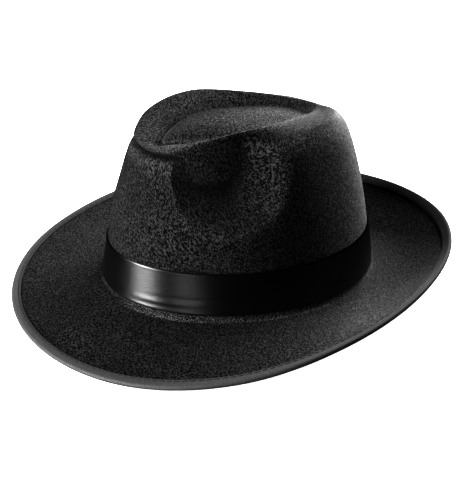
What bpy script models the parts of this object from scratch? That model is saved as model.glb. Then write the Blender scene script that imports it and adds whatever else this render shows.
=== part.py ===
import math
from collections import namedtuple

import bmesh
import bpy
import numpy as np

# A felt hat of the gangster kind: a creased crown, a satin ribbon and a brim with a bound edge.
# It is drawn with its crown upright on Z = 0 and its front towards -Y, and then leaned back on
# its front edge and the back of its brim, as it rests by itself. Lengths are in metres.

HEAD_LENGTH = 0.1978  # inside the crown's foot, front to back
HEAD_WIDTH = 0.1712  # inside the crown's foot, side to side
HEAD_TAPER = 0.056  # share by which the back of the foot is wider than its middle
FELT = 0.0018  # felt wall
CROWN_HEIGHT = 0.1190  # foot to the highest point of the crest
CREST_MIDDLE = -0.050  # middle of the crest, as a share of the crown's half length
CREST_REACH = 0.705  # crest's half length, as a share of the crown's half length
TOP_DENT = 0.0125  # depth of the dent inside the crest
BREAK_RADIUS = 0.0028  # hollow where the crown turns into the brim
BRIM_WIDTH = 0.0635  # crown's foot to the cut edge of the felt, seen from above
BRIM_TAPER = -0.124  # share by which the back of the brim is narrower than its middle

RIBBON_HEIGHT = 0.0295
RIBBON = 0.0010  # satin with its backing
RIBBON_LAP = 0.0180  # length over which the ribbon's end lies on its beginning
RIBBON_END = 262.0  # degrees from the front to that end, on the wearer's right

TAPE_WIDTH = 0.0068  # binding seen from above
TAPE = 0.0010  # binding, folded round the felt's edge

GAP = 0.0003  # room between two pieces that touch

COLUMNS = 64  # upright columns of faces round the hat
COLUMN_CROWDING = 0.25  # how much closer they stand in front, where the folds are
PINCH_MIDDLE = 60.0  # degrees from the front to the middle of each side pinch
PINCH_SPREAD = 32.0  # degrees from there to the pinch's front and back edges
PINCH_FOOT = 0.44  # lowest point of the pinch, as a share of the crown's height
PINCH_TOP = 0.89  # height where the pinch is widest, as a share of the crown's height
PINCH_FLARE = 0.12  # how far the pinched wall leans outwards for each metre down
PINCH_SOFT = 0.62  # share of the pinch over which its lower and back edges run out
PINCH_CRISP = 0.26  # the same for its front edge, which is a sharp fold

# Shares of the foot's plan, at heights that are shares of the shoulder's height.
WallSection = namedtuple("WallSection", "height front side back")
WALL_SECTIONS = (
    WallSection(0.00, 1.000, 1.000, 1.000),
    WallSection(0.13, 0.983, 0.966, 0.990),
    WallSection(0.27, 0.966, 0.934, 0.970),
    WallSection(0.38, 0.953, 0.916, 0.952),
    WallSection(0.48, 0.937, 0.898, 0.931),
    WallSection(0.57, 0.912, 0.880, 0.910),
    WallSection(0.65, 0.884, 0.860, 0.889),
    WallSection(0.73, 0.856, 0.838, 0.866),
    WallSection(0.80, 0.834, 0.815, 0.843),
    WallSection(0.87, 0.812, 0.786, 0.815),
    WallSection(0.93, 0.792, 0.752, 0.782),
    WallSection(0.97, 0.772, 0.715, 0.748),
)

# The crest is the ridge round the top dent. Width is a share of the crown's half width, height
# and shoulder height are shares of the crown's height, and shoulder plan is a share of the foot's
# plan. Lean is how much higher the shoulder stands on the wearer's left. Dent is a share of the
# top dent's depth, and slope is how broad the dent's sloping side is.
CrestSection = namedtuple(
    "CrestSection", "angle width height shoulder_plan shoulder_height lean dent slope"
)
CREST_SECTIONS = (
    CrestSection(0.0, 0.680, 0.881, 0.742, 0.845, 0.000, 0.60, 0.73),
    CrestSection(15.0, 0.660, 0.884, 0.742, 0.847, 0.000, 0.65, 1.05),
    CrestSection(30.0, 0.610, 0.905, 0.738, 0.860, 0.000, 0.75, 1.20),
    CrestSection(45.0, 0.575, 0.950, 0.725, 0.890, 0.000, 0.88, 1.22),
    CrestSection(60.0, 0.548, 0.978, 0.700, 0.925, 0.000, 0.98, 1.16),
    CrestSection(75.0, 0.528, 0.997, 0.670, 0.945, 0.000, 1.00, 1.10),
    CrestSection(90.0, 0.506, 1.000, 0.650, 0.950, 0.000, 0.95, 1.00),
    CrestSection(120.0, 0.397, 0.965, 0.655, 0.936, 0.035, 0.68, 0.64),
    CrestSection(150.0, 0.344, 0.924, 0.690, 0.926, 0.076, 0.42, 0.50),
    CrestSection(180.0, 0.300, 0.915, 0.705, 0.900, 0.100, 0.36, 0.50),
)

# From the shoulder in to the crest.
SHOULDER_STEPS = (0.34, 0.70)

# Inside the crest: shares of the crest's plan and of the dent's depth there, down the sloping
# side to the groove, and up again over the raised middle, whose rim is the section at RIM_PLAN.
RIM_PLAN = 0.65
DentSection = namedtuple("DentSection", "plan depth")
DENT_SECTIONS = (
    DentSection(0.94, 0.10),
    DentSection(0.86, 0.42),
    DentSection(0.78, 0.80),
    DentSection(0.71, 1.00),
    DentSection(RIM_PLAN, 0.93),
    DentSection(0.52, 0.78),
    DentSection(0.34, 0.68),
    DentSection(0.16, 0.64),
)
DENT_CENTRE = 0.63  # depth at the middle of the top, as a share of the dent's depth

# The brim's edge, by its height as a share of the brim's width, and how late the brim curls.
BrimSection = namedtuple("BrimSection", "angle edge curl")
BRIM_SECTIONS = (
    BrimSection(0.0, -0.315, 1.15),
    BrimSection(30.0, -0.275, 1.20),
    BrimSection(60.0, -0.125, 1.45),
    BrimSection(90.0, 0.085, 1.90),
    BrimSection(120.0, 0.210, 2.30),
    BrimSection(150.0, 0.232, 2.50),
    BrimSection(180.0, 0.226, 2.50),
)
BRIM_STEPS = (0.16, 0.36, 0.56, 0.75)


def smooth(position, positions, values):
    """A curve through a table, level at both ends, because the hat mirrors there."""
    positions = np.asarray(positions, float)
    values = np.asarray(values, float)
    slopes = np.zeros(len(values))
    slopes[1:-1] = (values[2:] - values[:-2]) / (positions[2:] - positions[:-2])
    place = np.clip(position, positions[0], positions[-1])
    row = np.clip(np.searchsorted(positions, place, side="right") - 1, 0, len(positions) - 2)
    span = positions[row + 1] - positions[row]
    t = (place - positions[row]) / span
    start = (2 * t**3 - 3 * t**2 + 1) * values[row] + (t**3 - 2 * t**2 + t) * span * slopes[row]
    end = (3 * t**2 - 2 * t**3) * values[row + 1] + (t**3 - t**2) * span * slopes[row + 1]
    return start + end


def column(table, name):
    return [getattr(row, name) for row in table]


def by_angle(table, name, turn):
    return smooth(turn, column(table, "angle"), column(table, name))


def ease(share):
    share = np.clip(share, 0.0, 1.0)
    return share * share * (3.0 - 2.0 * share)


def turn_from_front(angles):
    """Degrees from the front, 0 to 180 on either side."""
    return np.degrees(np.abs(np.arctan2(np.sin(angles), np.cos(angles))))


def half_length():
    return HEAD_LENGTH / 2 + FELT


def half_width():
    return HEAD_WIDTH / 2 + FELT


def foot_plan(angles):
    """The felt's outside at the foot of the crown."""
    x = half_width() * np.sin(angles) * (1 - HEAD_TAPER * np.cos(angles))
    return np.stack([x, -half_length() * np.cos(angles)], axis=-1)


def brim_plan(angles):
    """The felt's cut edge, seen from above."""
    x = (half_width() + BRIM_WIDTH) * np.sin(angles) * (1 - BRIM_TAPER * np.cos(angles))
    return np.stack([x, -(half_length() + BRIM_WIDTH) * np.cos(angles)], axis=-1)


def crest_ring(angles):
    turn = turn_from_front(angles)
    width = by_angle(CREST_SECTIONS, "width", turn) * half_width()
    x = width * np.sin(angles)
    y = half_length() * (CREST_MIDDLE - CREST_REACH * np.cos(angles))
    z = CROWN_HEIGHT * by_angle(CREST_SECTIONS, "height", turn)
    return np.stack([x, y, z], axis=-1)


def shoulder_height(angles):
    """Height where the wall turns in towards the crest, higher behind on the wearer's left."""
    turn = turn_from_front(angles)
    lean = 1 + by_angle(CREST_SECTIONS, "lean", turn) * np.sin(angles)
    return CROWN_HEIGHT * by_angle(CREST_SECTIONS, "shoulder_height", turn) * lean


def unpinched_wall(angles, share):
    """The crown before its sides are pinched, at a share of the shoulder's height."""
    turn = turn_from_front(angles)
    shoulder_plan = by_angle(CREST_SECTIONS, "shoulder_plan", turn)
    heights = column(WALL_SECTIONS, "height")
    ahead = np.cos(angles)
    scale = np.sin(angles) ** 2 * np.interp(share, heights, column(WALL_SECTIONS, "side"))
    scale += np.clip(ahead, 0, 1) ** 2 * np.interp(share, heights, column(WALL_SECTIONS, "front"))
    scale += np.clip(-ahead, 0, 1) ** 2 * np.interp(share, heights, column(WALL_SECTIONS, "back"))
    last = heights[-1]
    scale = np.where(share > last, scale + (shoulder_plan - scale) * (share - last) / (1 - last), scale)
    height = share * shoulder_height(angles)
    return np.concatenate([foot_plan(angles) * scale[:, None], height[:, None]], axis=-1)


def pinch_share(turn, height):
    """How much of the side pinch is felt at a place: 0 outside it, 1 on its pressed wall."""
    across = (turn - PINCH_MIDDLE) / PINCH_SPREAD
    top = CROWN_HEIGHT * PINCH_TOP
    down = np.clip((top - height) / (top - CROWN_HEIGHT * PINCH_FOOT), 0, None)
    reach = np.hypot(across, down)
    ahead = np.clip(-across, 0, None) / np.maximum(reach, 1e-6)
    softness = PINCH_SOFT + (PINCH_CRISP - PINCH_SOFT) * ahead**2
    return ease((1 - reach) / softness)


def wall_ring(angles, share):
    ring = unpinched_wall(angles, share)
    crest = crest_ring(angles)
    outward = ring[:, :2] - crest[:, :2]
    outward /= np.maximum(np.linalg.norm(outward, axis=-1, keepdims=True), 1e-6)
    pressed = crest[:, :2] + outward * PINCH_FLARE * (crest[:, 2:] - ring[:, 2:])
    pinch = pinch_share(turn_from_front(angles), ring[:, 2])[:, None]
    ring[:, :2] += (pressed - ring[:, :2]) * pinch
    return ring


def wall_at_height(angles, height):
    """The wall's ring at one height above the foot, under the pinches."""
    return wall_ring(angles, height / shoulder_height(angles))


def brim_ring(angles, share):
    """The brim's upper face: 0 at its root, 1 at its cut edge."""
    turn = turn_from_front(angles)
    foot = foot_plan(angles)
    root = foot * (1 + BREAK_RADIUS / np.linalg.norm(foot, axis=-1, keepdims=True))
    plan = root + (brim_plan(angles) - root) * share
    rise = BRIM_WIDTH * by_angle(BRIM_SECTIONS, "edge", turn) + BREAK_RADIUS
    height = rise * share ** by_angle(BRIM_SECTIONS, "curl", turn) - BREAK_RADIUS
    return np.concatenate([plan, height[:, None]], axis=-1)


def break_ring(angles):
    """Halfway round the hollow between the crown and the brim."""
    foot = foot_plan(angles)
    out = BREAK_RADIUS * (1 - math.sqrt(0.5))
    plan = foot * (1 + out / np.linalg.norm(foot, axis=-1, keepdims=True))
    drop = np.full((len(angles), 1), -BREAK_RADIUS * math.sqrt(0.5))
    return np.concatenate([plan, drop], axis=-1)


def dent_ring(angles, section):
    """A ring inside the crest, lowered below the crest's height at the same place."""
    crest = crest_ring(angles)
    half = np.radians(np.linspace(0, 180, 181))
    ridge = crest_ring(half)
    middle = half_length() * CREST_MIDDLE
    turn = turn_from_front(angles)
    rim = 1 - (1 - RIM_PLAN) * by_angle(CREST_SECTIONS, "slope", turn)
    if section.plan > RIM_PLAN:
        plan = rim + (1 - rim) * (section.plan - RIM_PLAN) / (1 - RIM_PLAN)
    else:
        plan = rim * section.plan / RIM_PLAN
    x = crest[:, 0] * plan
    y = middle + (crest[:, 1] - middle) * plan
    middle_depth = by_angle(CREST_SECTIONS, "dent", 90.0)
    depth = middle_depth + (by_angle(CREST_SECTIONS, "dent", turn) - middle_depth) * plan
    z = np.interp(y, ridge[:, 1], ridge[:, 2]) - TOP_DENT * depth * section.depth
    return np.stack([x, y, z], axis=-1)


def tape_share():
    """Where on the brim the binding ends."""
    return 1 - TAPE_WIDTH / BRIM_WIDTH


def column_angles():
    even = np.arange(COLUMNS) * 2 * math.pi / COLUMNS
    return even - COLUMN_CROWDING * np.sin(even)


def outer_skin():
    """The felt's upper and outer face as rings, from the brim's edge in to the crown's middle."""
    angles = column_angles()
    rings = [brim_ring(angles, share) for share in (1.0, tape_share()) + BRIM_STEPS[::-1] + (0.0,)]
    rings.append(break_ring(angles))
    rings += [wall_ring(angles, section.height) for section in WALL_SECTIONS]
    shoulder = wall_ring(angles, 1.0)
    crest = crest_ring(angles)
    rings.append(shoulder)
    rings += [shoulder + (crest - shoulder) * step for step in SHOULDER_STEPS]
    rings.append(crest)
    rings += [dent_ring(angles, section) for section in DENT_SECTIONS]
    return np.array(rings)


def centre_point():
    centre = dent_ring(np.array([math.pi / 2]), DentSection(0.0, DENT_CENTRE))
    return centre[0]


def outward_normals(rings):
    """Unit normals of a grid of rings, pointing out of the hat."""
    along = np.gradient(rings, axis=0)
    around = np.roll(rings, -1, axis=1) - np.roll(rings, 1, axis=1)
    normals = np.cross(around, along)
    return normals / np.linalg.norm(normals, axis=-1, keepdims=True)


def material(name, colour, roughness):
    finish = bpy.data.materials.new(name)
    finish.use_nodes = True
    shader = finish.node_tree.nodes["Principled BSDF"]
    shader.inputs["Base Color"].default_value = (*colour, 1.0)
    shader.inputs["Roughness"].default_value = roughness
    shader.inputs["Metallic"].default_value = 0.0
    finish.diffuse_color = (*colour, 1.0)
    return finish


def add_rings(mesh, rings):
    return [[mesh.verts.new(point) for point in ring] for ring in rings]


def bridge(mesh, first, second):
    """One band of faces between two rings that have the same columns."""
    count = len(first)
    for index in range(count):
        after = (index + 1) % count
        mesh.faces.new((first[index], first[after], second[after], second[index]))


def finish_piece(name, mesh, finish, sharp_angle):
    bmesh.ops.recalc_face_normals(mesh, faces=mesh.faces)
    data = bpy.data.meshes.new(name)
    mesh.to_mesh(data)
    mesh.free()
    data.materials.append(finish)
    data.shade_smooth()
    data.set_sharp_from_angle(angle=math.radians(sharp_angle))
    piece = bpy.data.objects.new(name, data)
    bpy.context.collection.objects.link(piece)
    return piece


def make_felt_body():
    """Crown and brim, one sheet of felt pressed to shape."""
    skin = outer_skin()
    lining = skin - outward_normals(skin) * FELT
    top = centre_point()
    mesh = bmesh.new()
    outer = add_rings(mesh, skin)
    inner = add_rings(mesh, lining)
    for rings in (outer, inner):
        for first, second in zip(rings, rings[1:]):
            bridge(mesh, first, second)
    bridge(mesh, outer[0], inner[0])
    for rings, height in ((outer, top[2]), (inner, top[2] - FELT)):
        centre = mesh.verts.new((top[0], top[1], height))
        last = rings[-1]
        for index in range(COLUMNS):
            mesh.faces.new((last[index], last[(index + 1) % COLUMNS], centre))
    return finish_piece("felt_body", mesh, material("black_felt", (0.013, 0.013, 0.014), 0.92), 50)


def ribbon_angles():
    """The felt's own columns, with three more at the ribbon's lap."""
    end = math.radians(RIBBON_END)
    step = GAP / half_width()
    lap = RIBBON_LAP / half_length()
    return np.unique(np.concatenate([column_angles(), [end - step, end, end + lap]]))


def make_hat_band():
    """Satin ribbon round the foot of the crown, its end lapped over its beginning."""
    angles = ribbon_angles()
    end = math.radians(RIBBON_END)
    lap = RIBBON_LAP / half_length()
    doubled = np.where(angles >= end - 1e-6, np.clip(1 - (angles - end) / lap, 0, 1), 0)
    rows = [wall_at_height(angles, height) for height in (0, RIBBON_HEIGHT / 2, RIBBON_HEIGHT)]
    rows = np.array(rows)
    normals = outward_normals(rows)
    inside = rows + normals * GAP
    outside = rows + normals * (GAP + RIBBON * (1 + doubled))[None, :, None]
    mesh = bmesh.new()
    rings = add_rings(mesh, inside) + add_rings(mesh, outside[::-1])
    for first, second in zip(rings, rings[1:] + rings[:1]):
        bridge(mesh, first, second)
    return finish_piece("hat_band", mesh, material("black_satin", (0.008, 0.008, 0.009), 0.28), 40)


def make_edge_binding():
    """Tape folded round the brim's cut edge."""
    angles = column_angles()
    rings = np.array([brim_ring(angles, share) for share in (1.0, tape_share(), BRIM_STEPS[-1])])
    normals = outward_normals(rings)
    edge = rings[0]
    flap = rings[1]
    up = normals[0]
    outward = edge - flap
    outward -= up * np.sum(outward * up, axis=-1, keepdims=True)
    outward /= np.linalg.norm(outward, axis=-1, keepdims=True)

    def nose(radius, degrees):
        turn = math.radians(degrees)
        return edge - up * FELT / 2 + (outward * math.cos(turn) + up * math.sin(turn)) * radius

    over = flap + normals[1] * (GAP + TAPE)
    inside_over = flap + normals[1] * GAP
    under = flap - normals[1] * (FELT + GAP + TAPE)
    inside_under = flap - normals[1] * (FELT + GAP)
    outer_radius = FELT / 2 + GAP + TAPE
    inner_radius = FELT / 2 + GAP
    loops = [over]
    loops += [nose(outer_radius, degrees) for degrees in (90, 40, 0, -40, -90)]
    loops += [under, inside_under]
    loops += [nose(inner_radius, degrees) for degrees in (-90, -40, 40, 90)]
    loops += [inside_over]
    mesh = bmesh.new()
    rings = add_rings(mesh, loops)
    for first, second in zip(rings, rings[1:] + rings[:1]):
        bridge(mesh, first, second)
    return finish_piece("edge_binding", mesh, material("black_tape", (0.03, 0.03, 0.032), 0.6), 60)


def resting_lean(points):
    """Angle of the line that carries the hat from the front edge to the back of the brim."""
    lower = []
    for point in sorted(set(map(tuple, points[:, 1:]))):
        while len(lower) > 1:
            (y0, z0), (y1, z1) = lower[-2:]
            if (y1 - y0) * (point[1] - z0) > (z1 - z0) * (point[0] - y0):
                break
            lower.pop()
        lower.append(point)
    for (y0, z0), (y1, z1) in zip(lower, lower[1:]):
        if y0 <= 0 < y1:
            return math.atan2(z1 - z0, y1 - y0)
    return 0.0


def stand_at_rest(pieces):
    """Lean the pieces the way the hat rests, with its lowest points at Z = 0 below its middle."""
    points = np.array([vertex.co[:] for piece in pieces for vertex in piece.data.vertices])
    lean = resting_lean(points)
    turned = points.copy()
    turned[:, 1] = points[:, 1] * math.cos(lean) + points[:, 2] * math.sin(lean)
    turned[:, 2] = points[:, 2] * math.cos(lean) - points[:, 1] * math.sin(lean)
    low = turned.min(axis=0)
    high = turned.max(axis=0)
    rest = bpy.data.objects.new("rest", None)
    bpy.context.collection.objects.link(rest)
    rest.rotation_euler = (-lean, 0, 0)
    rest.location = (-(low[0] + high[0]) / 2, -(low[1] + high[1]) / 2, -low[2])
    for piece in pieces:
        piece.parent = rest


for thing in list(bpy.data.objects):
    bpy.data.objects.remove(thing, do_unlink=True)
stand_at_rest([make_felt_body(), make_hat_band(), make_edge_binding()])
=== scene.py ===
import math

import bpy
import numpy as np
from mathutils import Matrix, Vector


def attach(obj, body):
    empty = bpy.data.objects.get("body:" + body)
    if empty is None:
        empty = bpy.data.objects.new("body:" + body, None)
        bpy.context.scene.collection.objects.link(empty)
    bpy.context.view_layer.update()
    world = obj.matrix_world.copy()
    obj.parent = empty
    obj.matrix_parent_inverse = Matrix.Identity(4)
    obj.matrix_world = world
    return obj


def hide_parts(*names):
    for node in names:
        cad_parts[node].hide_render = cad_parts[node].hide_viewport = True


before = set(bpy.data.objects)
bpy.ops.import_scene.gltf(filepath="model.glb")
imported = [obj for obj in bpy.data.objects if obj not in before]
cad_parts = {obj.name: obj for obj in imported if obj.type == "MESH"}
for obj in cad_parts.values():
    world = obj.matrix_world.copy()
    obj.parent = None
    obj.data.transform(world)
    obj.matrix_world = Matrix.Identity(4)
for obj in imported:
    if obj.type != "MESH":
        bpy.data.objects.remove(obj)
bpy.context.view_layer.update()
print("hat: packed model loaded")

# the block the hat is pressed on
block = {
    "headLength": 0.1978,  # inside the crown's foot, front to back
    "headWidth": 0.1712,
    "headTaper": 0.056,  # the back of the foot is wider than its middle
    "felt": 0.0018,
    "crownHeight": 0.1190,
    "crestMiddle": -0.050,
    "crestReach": 0.705,
    "topDent": 0.0125,
    "breakRadius": 0.0028,  # hollow where the crown turns into the brim
    "brimWidth": 0.0635,
    "brimTaper": -0.124,
    "crowding": 0.25,  # columns of faces stand closer in front, where the folds are
}
restPose = {"leanDegrees": -3.833325, "back": -0.000154, "up": 0.011987}  # how the hat rests
pinch = {
    "middle": 60.0,  # degrees from the front
    "spread": 32.0,
    "foot": 0.44,  # shares of the crown's height
    "top": 0.89,
    "flare": 0.12,
    "soft": 0.62,
    "crisp": 0.32,  # the front edge is a sharp fold
}
wallTable = {
    "height": (0, 0.13, 0.27, 0.38, 0.48, 0.57, 0.65, 0.73, 0.80, 0.87, 0.93, 0.97),
    "front": (1, 0.983, 0.966, 0.953, 0.937, 0.912, 0.884, 0.856, 0.834, 0.812, 0.792, 0.772),
    "side": (1, 0.966, 0.934, 0.916, 0.898, 0.880, 0.860, 0.838, 0.815, 0.786, 0.752, 0.715),
    "back": (1, 0.990, 0.970, 0.952, 0.931, 0.910, 0.889, 0.866, 0.843, 0.815, 0.782, 0.748),
}
crestTable = {
    "angle": (0, 15, 30, 45, 60, 75, 90, 120, 150, 180),
    "width": (0.680, 0.660, 0.610, 0.575, 0.548, 0.528, 0.506, 0.397, 0.344, 0.300),
    "height": (0.881, 0.884, 0.905, 0.950, 0.978, 0.997, 1.000, 0.965, 0.924, 0.915),
    "shoulderPlan": (0.724, 0.724, 0.722, 0.716, 0.700, 0.670, 0.650, 0.655, 0.690, 0.705),
    "shoulderHeight": (0.845, 0.847, 0.860, 0.890, 0.925, 0.945, 0.950, 0.936, 0.926, 0.900),
    "lean": (0, 0, 0, 0, 0, 0, 0, 0.035, 0.076, 0.100),
    "dent": (0.60, 0.65, 0.75, 0.88, 0.98, 1.00, 0.95, 0.68, 0.42, 0.36),
    "slope": (0.73, 1.05, 1.20, 1.22, 1.16, 1.10, 1.00, 0.64, 0.50, 0.50),
}
rimPlan = 0.65
dentTable = {
    "plan": (0.94, 0.86, 0.78, 0.725, 0.705, 0.685, rimPlan, 0.52, 0.34, 0.16),
    "depth": (0.10, 0.42, 0.80, 1.00, 1.08, 0.97, 0.91, 0.78, 0.68, 0.64),
    "centre": 0.63,
}
brimTable = {
    "angle": (0, 30, 60, 90, 120, 150, 180),
    "edge": (-0.315, -0.275, -0.125, 0.085, 0.210, 0.232, 0.226),
    "curl": (1.15, 1.20, 1.45, 1.90, 2.30, 2.50, 2.50),
}

halfLength = block["headLength"] / 2 + block["felt"]
halfWidth = block["headWidth"] / 2 + block["felt"]
restMatrix = Matrix.Translation((0, restPose["back"], restPose["up"])) @ Matrix.Rotation(
    math.radians(restPose["leanDegrees"]), 4, "X"
)


def curveBetween(t, span, first, firstSlope, second, secondSlope):
    start = (2 * t**3 - 3 * t**2 + 1) * first + (t**3 - 2 * t**2 + t) * span * firstSlope
    end = (3 * t**2 - 2 * t**3) * second + (t**3 - t**2) * span * secondSlope
    return start + end


def alongTable(place, places, values, slopes):
    place = np.clip(place, places[0], places[-1])
    row = np.clip(np.searchsorted(places, place, side="right") - 1, 0, len(places) - 2)
    span = places[row + 1] - places[row]
    t = (place - places[row]) / span
    return curveBetween(t, span, values[row], slopes[row], values[row + 1], slopes[row + 1])


def throughRows(place, places, values):  # a smooth curve through a table, level at both ends
    places = np.asarray(places, float)
    values = np.asarray(values, float)
    slopes = np.zeros(len(values))
    slopes[1:-1] = (values[2:] - values[:-2]) / (places[2:] - places[:-2])
    return alongTable(place, places, values, slopes)


def wallShare(share, side):  # the wall's plan at a height, with its slope kept at both ends
    heights = np.asarray(wallTable["height"], float)
    plan = np.asarray(wallTable[side], float)
    return alongTable(share, heights, plan, np.gradient(plan, heights))


def ease(share):
    share = np.clip(share, 0.0, 1.0)
    return share * share * (3.0 - 2.0 * share)


def fromFront(azimuth, elevation):  # a direction, in degrees from the front and from level
    turn = math.radians(azimuth)
    rise = math.radians(elevation)
    level = math.cos(rise)
    return Vector((math.sin(turn) * level, -math.cos(turn) * level, math.sin(rise)))


def turnFromFront(angles):  # degrees from the front, 0 to 180 on either side
    return np.degrees(np.abs(np.arctan2(np.sin(angles), np.cos(angles))))


def footPlan(angles):
    x = halfWidth * np.sin(angles) * (1 - block["headTaper"] * np.cos(angles))
    return np.stack([x, -halfLength * np.cos(angles)], axis=-1)


def brimPlan(angles):
    wide = halfWidth + block["brimWidth"]
    x = wide * np.sin(angles) * (1 - block["brimTaper"] * np.cos(angles))
    return np.stack([x, -(halfLength + block["brimWidth"]) * np.cos(angles)], axis=-1)


def crestRing(angles):
    turn = turnFromFront(angles)
    x = throughRows(turn, crestTable["angle"], crestTable["width"]) * halfWidth * np.sin(angles)
    y = halfLength * (block["crestMiddle"] - block["crestReach"] * np.cos(angles))
    z = block["crownHeight"] * throughRows(turn, crestTable["angle"], crestTable["height"])
    return np.stack([x, y, z], axis=-1)


def shoulderHeight(angles):  # higher behind on the wearer's left
    turn = turnFromFront(angles)
    lean = 1 + throughRows(turn, crestTable["angle"], crestTable["lean"]) * np.sin(angles)
    height = throughRows(turn, crestTable["angle"], crestTable["shoulderHeight"])
    return block["crownHeight"] * height * lean


def pinchShare(turn, height):  # 0 outside the side pinch, 1 on its pressed wall
    across = (turn - pinch["middle"]) / pinch["spread"]
    top = block["crownHeight"] * pinch["top"]
    down = np.clip((top - height) / (top - block["crownHeight"] * pinch["foot"]), 0, None)
    reach = np.hypot(across, down)
    ahead = np.clip(-across, 0, None) / np.maximum(reach, 1e-6)
    softness = pinch["soft"] + (pinch["crisp"] - pinch["soft"]) * ahead**2
    share = np.clip((1 - reach) / softness, 0, 1)
    return ease(share) + (share * (2 - share) - ease(share)) * ahead**2


def wallRing(angles, share):
    turn = turnFromFront(angles)
    ahead = np.cos(angles)
    scale = np.sin(angles) ** 2 * wallShare(share, "side")
    scale += np.clip(ahead, 0, 1) ** 2 * wallShare(share, "front")
    scale += np.clip(-ahead, 0, 1) ** 2 * wallShare(share, "back")
    last = wallTable["height"][-1]
    shoulder = throughRows(turn, crestTable["angle"], crestTable["shoulderPlan"])
    toShoulder = scale + (shoulder - scale) * (share - last) / (1 - last)
    scale = np.where(share > last, toShoulder, scale)
    height = share * shoulderHeight(angles)
    ring = np.concatenate([footPlan(angles) * scale[:, None], height[:, None]], axis=-1)
    crest = crestRing(angles)
    outward = ring[:, :2] - crest[:, :2]
    outward /= np.maximum(np.linalg.norm(outward, axis=-1, keepdims=True), 1e-6)
    pressed = crest[:, :2] + outward * pinch["flare"] * (crest[:, 2:] - ring[:, 2:])
    ring[:, :2] += (pressed - ring[:, :2]) * pinchShare(turn, ring[:, 2])[:, None]
    return ring


def brimRing(angles, share):  # 0 at the brim's root, 1 at its cut edge
    turn = turnFromFront(angles)
    foot = footPlan(angles)
    root = foot * (1 + block["breakRadius"] / np.linalg.norm(foot, axis=-1, keepdims=True))
    plan = root + (brimPlan(angles) - root) * share
    edge = throughRows(turn, brimTable["angle"], brimTable["edge"])
    curl = throughRows(turn, brimTable["angle"], brimTable["curl"])
    rise = block["brimWidth"] * edge + block["breakRadius"]
    height = rise * share**curl - block["breakRadius"]
    return np.concatenate([plan, height[:, None]], axis=-1)


def breakRing(angles, degrees):  # round the hollow, 0 at the crown's foot and 90 at the brim
    foot = footPlan(angles)
    turn = math.radians(degrees)
    out = block["breakRadius"] * (1 - math.cos(turn))
    plan = foot * (1 + out / np.linalg.norm(foot, axis=-1, keepdims=True))
    drop = np.full((len(angles), 1), -block["breakRadius"] * math.sin(turn))
    return np.concatenate([plan, drop], axis=-1)


def dentRing(angles, plan, depth):
    crest = crestRing(angles)
    ridge = crestRing(np.radians(np.linspace(0, 180, 181)))
    middle = halfLength * block["crestMiddle"]
    turn = turnFromFront(angles)
    rim = 1 - (1 - rimPlan) * throughRows(turn, crestTable["angle"], crestTable["slope"])
    if plan > rimPlan:
        plan = rim + (1 - rim) * (plan - rimPlan) / (1 - rimPlan)
    else:
        plan = rim * plan / rimPlan
    x = crest[:, 0] * plan
    y = middle + (crest[:, 1] - middle) * plan
    middleDepth = throughRows(90.0, crestTable["angle"], crestTable["dent"])
    ringDepth = throughRows(turn, crestTable["angle"], crestTable["dent"])
    drop = (middleDepth + (ringDepth - middleDepth) * plan) * depth
    z = np.interp(y, ridge[:, 1], ridge[:, 2]) - block["topDent"] * drop
    return np.stack([x, y, z], axis=-1)


def betweenRings(rings, spacing, first):  # a smooth skin through rings, from ring number first
    rings = np.asarray(rings)
    step = np.sqrt(np.maximum(np.linalg.norm(np.diff(rings, axis=0), axis=-1), 1e-5))[..., None]
    chord = np.diff(rings, axis=0) / step
    slopes = np.empty_like(rings)
    slopes[0] = chord[0]
    slopes[-1] = chord[-1]
    before, after = step[:-1], step[1:]
    slopes[1:-1] = (chord[:-1] * after + chord[1:] * before) / (before + after)
    made = []
    for row in range(first, len(rings) - 1):
        length = np.linalg.norm(rings[row + 1] - rings[row], axis=-1).mean()
        count = max(2, round(length / spacing))
        for part in range(count):
            made.append(curveBetween(part / count, step[row], rings[row], slopes[row],
                                     rings[row + 1], slopes[row + 1]))
    made.append(rings[-1])
    return made


def outwardNormals(rings):
    along = np.gradient(rings, axis=0)
    around = np.roll(rings, -1, axis=1) - np.roll(rings, 1, axis=1)
    normals = np.cross(around, along)
    return normals / np.linalg.norm(normals, axis=-1, keepdims=True)


def toRest(points):  # from the upright hat to the pose in which it rests
    matrix = np.array(restMatrix)
    return np.asarray(points).reshape(-1, 3) @ matrix[:3, :3].T + matrix[:3, 3]


def gridFaces(rows, columns, start=0, flip=False):
    row = np.arange(rows - 1)[:, None] * columns
    column = np.arange(columns)[None, :]
    after = (column + 1) % columns
    above = row + columns
    faces = np.stack([row + column, row + after, above + after, above + column], -1)
    faces = faces.reshape(-1, 4) + start
    return faces[:, ::-1] if flip else faces


sharpAngle = 60  # degrees, where the shading breaks


def newPiece(name, points, faces, finishes):
    mesh = bpy.data.meshes.new(name)
    mesh.from_pydata([tuple(point) for point in points], [], [tuple(face) for face in faces])
    for finish in finishes:
        mesh.materials.append(finish)
    mesh.validate()
    mesh.shade_smooth()
    mesh.set_sharp_from_angle(angle=math.radians(sharpAngle))
    piece = bpy.data.objects.new(name, mesh)
    bpy.context.scene.collection.objects.link(piece)
    return piece


def addNumbers(piece, name, numbers):  # one number for each vertex, for the materials
    layer = piece.data.attributes.new(name, "FLOAT", "POINT")
    layer.data.foreach_set("value", np.asarray(numbers, np.float32).ravel())


# shader groups
def newGroup(name, inputs, outputs):
    group = bpy.data.node_groups.new(name, "ShaderNodeTree")
    for label, kind, value in inputs:
        socket = group.interface.new_socket(label, in_out="INPUT", socket_type=kind)
        if value is not None:
            socket.default_value = value
    for label, kind in outputs:
        group.interface.new_socket(label, in_out="OUTPUT", socket_type=kind)
    return group


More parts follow.
